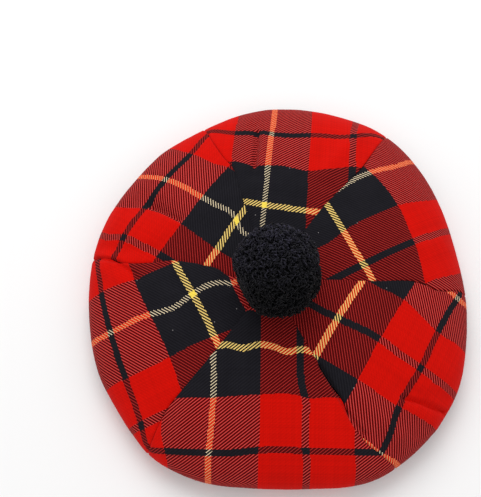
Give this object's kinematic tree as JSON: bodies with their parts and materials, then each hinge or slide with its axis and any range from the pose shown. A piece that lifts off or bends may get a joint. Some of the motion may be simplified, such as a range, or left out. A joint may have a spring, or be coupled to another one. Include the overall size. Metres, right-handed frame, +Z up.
{
  "type": "tam o shanter",
  "caption": "Soft round tartan tam with radial gores, a wool pompom on the crown, a ribbed knit headband and a dark lining.",
  "frame": {"origin": "centre of the bounding box in X and Y, on the floor that the hat rests on", "axes": "+Z up through the crown, +Y toward the top of the picture, +X to its right"},
  "size_m": [0.2788, 0.2937, 0.1047],
  "materials": {
    "tartan_cloth": "twill wool tartan in red, black and yellow",
    "headband_knit": "ribbed knit wool, near black",
    "lining_cloth": "smooth dark blue-grey lining",
    "pompom_yarn": "cut wool yarn, near black"
  },
  "bodies": {
    "root": {"gore_top": "tartan_cloth", "gore_upper_left": "tartan_cloth", "gore_left": "tartan_cloth", "gore_bottom": "tartan_cloth", "gore_lower_right": "tartan_cloth", "gore_right": "tartan_cloth", "headband": "headband_knit", "lining": "lining_cloth", "pompom": "pompom_yarn"}
  },
  "joints": []
}
